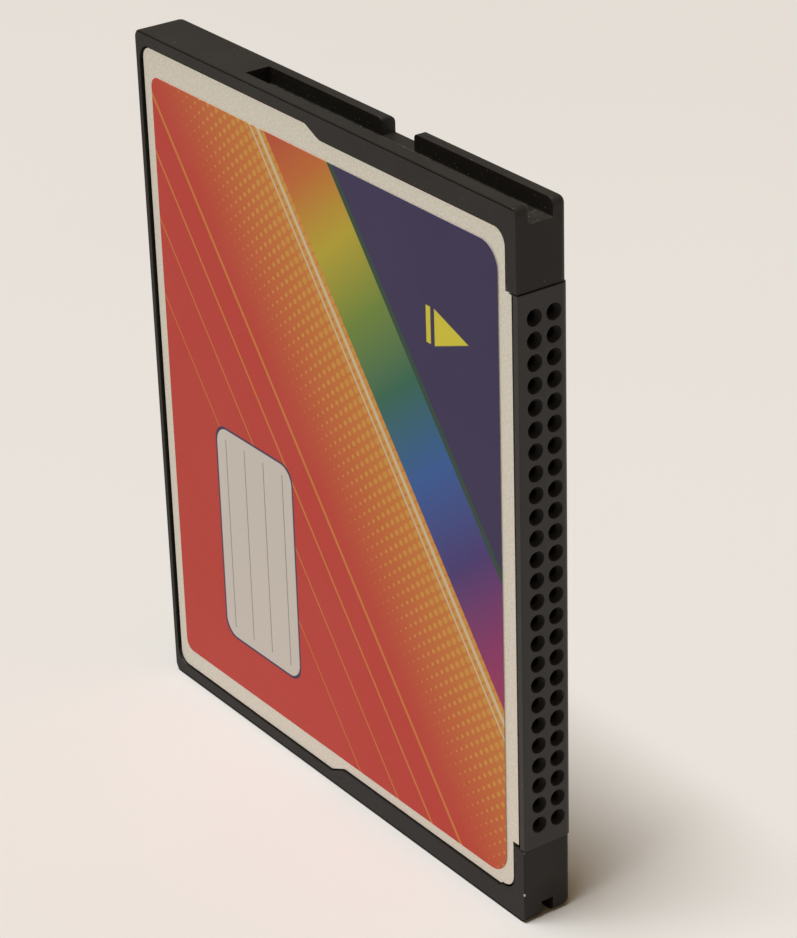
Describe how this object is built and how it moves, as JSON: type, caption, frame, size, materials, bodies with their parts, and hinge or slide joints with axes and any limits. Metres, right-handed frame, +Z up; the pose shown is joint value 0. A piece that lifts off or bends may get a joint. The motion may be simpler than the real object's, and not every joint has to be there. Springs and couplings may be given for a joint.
{
  "type": "compact flash memory card",
  "caption": "Thin rectangular memory card with a two-row socket connector along one end, guide grooves in its sides, steel covers and a colour-field label.",
  "frame": {"origin": "middle of the card's bounding box, on the surface that its lower guide side stands on", "axes": "+X towards the connector face, +Y from the label side to the back, +Z up across the card's width"},
  "size_m": [0.0364, 0.0032, 0.0428],
  "materials": {
    "frame_black": "matt black glass-filled plastic with a fine moulded grain",
    "connector_black": "matt dark grey connector plastic, slightly lighter than the frame",
    "cover_steel": "satin stainless sheet",
    "label_print": "printed film with plain fields of colour",
    "contact_metal": "plated spring bronze",
    "lead_metal": "tinned leads and end caps",
    "bond_film": "thin bonding film",
    "board_green": "circuit board with green solder mask",
    "chip_black": "moulded chip bodies",
    "ceramic": "unglazed ceramic",
    "crystal_metal": "plated metal lid",
    "tantalum_yellow": "moulded capacitor body"
  },
  "bodies": {
    "root": {"frame": "frame_black", "connector_housing": "connector_black", "front_row_contacts": "contact_metal", "back_row_contacts": "contact_metal", "front_cover": "cover_steel", "back_cover": "cover_steel", "front_bond_film": "bond_film", "back_bond_film": "bond_film", "front_label": "label_print", "circuit_board": "board_green", "controller_chip": "chip_black", "controller_leads": "lead_metal", "front_flash_chip": "chip_black", "front_flash_leads": "lead_metal", "back_flash_chip": "chip_black", "back_flash_leads": "lead_metal", "crystal_base": "ceramic", "crystal_lid": "crystal_metal", "voltage_regulator": "chip_black", "regulator_leads": "lead_metal", "ceramic_capacitors": "ceramic", "capacitor_ends": "lead_metal", "chip_resistors": "chip_black", "resistor_ends": "lead_metal", "tantalum_capacitor": "tantalum_yellow", "tantalum_ends": "lead_metal"}
  },
  "joints": []
}
